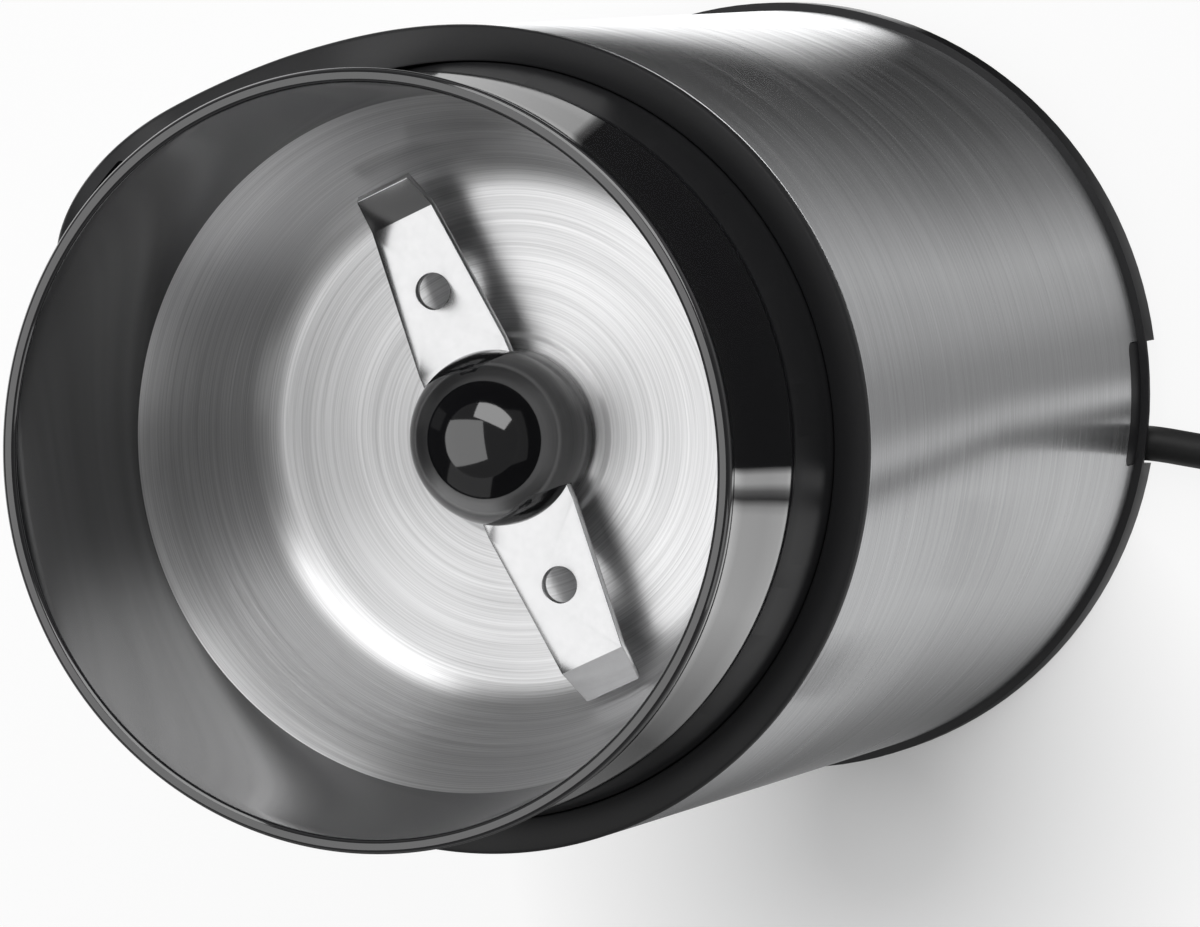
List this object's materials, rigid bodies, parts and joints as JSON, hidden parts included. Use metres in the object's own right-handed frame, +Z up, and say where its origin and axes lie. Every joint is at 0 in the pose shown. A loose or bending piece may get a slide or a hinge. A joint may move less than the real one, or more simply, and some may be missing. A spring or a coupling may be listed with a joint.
{
  "type": "electric coffee grinder",
  "caption": "Upright blade coffee grinder with a brushed steel sleeve, open black cup, steel bowl, two-armed blade, lid-operated switch and mains lead.",
  "frame": {"origin": "on the table at the motor's axis, under the middle of the base", "axes": "+Z up along the motor's axis; the switch guard is at the front, -Y; the cord leaves at the back, 128 degrees round from +X"},
  "size_m": [0.1055, 0.1907, 0.1448],
  "materials": {
    "sleeve_steel": "brushed round the body",
    "bowl_steel": "brushed in circles",
    "blade_steel": "polished",
    "black_satin": "satin",
    "black_gloss": "polished",
    "black_rubber": "matt",
    "grey_rubber": "matt",
    "grey_plastic": "moulded",
    "screw_steel": "zinc plated",
    "shaft_steel": "ground",
    "bronze": "sintered",
    "bracket_alloy": "cast",
    "lamination": "stamped sheets",
    "copper": "enamelled wire",
    "brass": "drawn",
    "carbon": "graphite",
    "fan_plastic": "moulded",
    "switch_plastic": "moulded",
    "button_red": "moulded",
    "block_plastic": "moulded",
    "lead_insulation": "smooth",
    "pin_metal": "nickel plated"
  },
  "bodies": {
    "housing": {"steel_sleeve": "sleeve_steel", "base_cover": "black_satin", "rubber_feet": "black_rubber", "base_screws": "screw_steel", "shoulder_ring": "black_satin", "cup_housing": "black_satin", "cup_collar": "black_gloss", "grinding_bowl": "bowl_steel", "bowl_gasket": "grey_rubber", "shaft_seal": "grey_rubber", "upper_bearing": "bronze", "lower_bearing": "bronze", "upper_bracket": "bracket_alloy", "lower_bracket": "bracket_alloy", "motor_bolts": "screw_steel", "rubber_mounts": "grey_rubber", "mount_screws": "screw_steel", "stator_core": "lamination", "field_coils": "copper", "brush_holders": "brass", "carbon_brushes": "carbon", "brush_springs": "screw_steel", "inner_chassis": "grey_plastic", "chassis_screws": "screw_steel", "plunger_spring": "screw_steel", "switch_body": "switch_plastic", "switch_terminals": "brass", "thermal_fuse": "screw_steel", "terminal_block": "block_plastic", "inner_leads": "lead_insulation", "strain_relief": "black_rubber", "mains_cord": "black_rubber", "cord_coil": "black_rubber", "cord_tail": "black_rubber", "plug_body": "black_rubber", "plug_pins": "pin_metal"},
    "rotor": {"motor_shaft": "shaft_steel", "armature_core": "lamination", "armature_windings": "copper", "commutator": "copper", "cooling_fan": "fan_plastic", "hub_washer": "screw_steel", "blade": "blade_steel", "hub_cap": "black_gloss"},
    "plunger": {"switch_plunger": "black_satin"},
    "microswitch_button": {"switch_button": "button_red"}
  },
  "joints": [
    {"name": "blade_spin", "type": "hinge", "parent": "housing", "child": "rotor", "pos_m": [0, 0, 0.1032], "axis": [0, 0, 1], "continuous": true},
    {"name": "switch_press", "type": "slide", "parent": "housing", "child": "plunger", "axis": [0, 0, -1], "range_m": [0, 0.002], "stiffness_N_per_m": 200, "springref_m": -0.003, "deforming": ["plunger_spring"]},
    {"name": "switch_click", "type": "slide", "parent": "housing", "child": "microswitch_button", "axis": [0, 0, -1], "range_m": [0, 0.0016]}
  ],
  "couplings": [
    {"joint": "switch_click", "follows": "switch_press", "ratio": 0.8}
  ]
}
